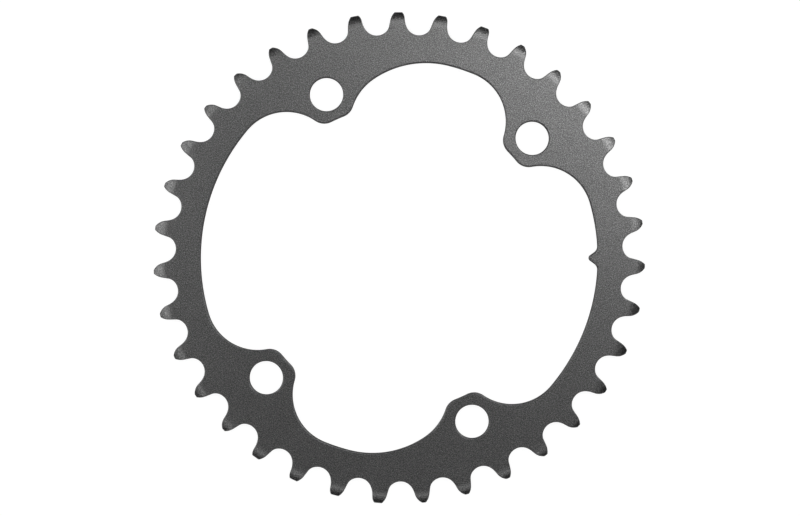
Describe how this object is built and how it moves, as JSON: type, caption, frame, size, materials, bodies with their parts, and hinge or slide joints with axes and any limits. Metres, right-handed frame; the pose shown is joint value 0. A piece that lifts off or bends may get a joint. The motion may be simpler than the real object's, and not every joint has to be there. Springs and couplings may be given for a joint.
{
  "type": "bicycle chainring",
  "caption": "Flat inner chainring for a bicycle crank: a thin toothed ring with bolt lobes and an alignment pointer inside its opening, in blasted dark grey aluminium.",
  "frame": {"origin": "centre of the bolt pattern on the ring's axis, at the back face", "axes": "+Z along the ring's axis towards the front face, +X and +Y along the sides of the bolt holes' rectangle"},
  "size_m": [0.1468, 0.1469, 0.003],
  "materials": {
    "anodised_aluminium": "fine blasted, dark grey anodised"
  },
  "bodies": {
    "root": {"chainring": "anodised_aluminium"}
  },
  "joints": []
}
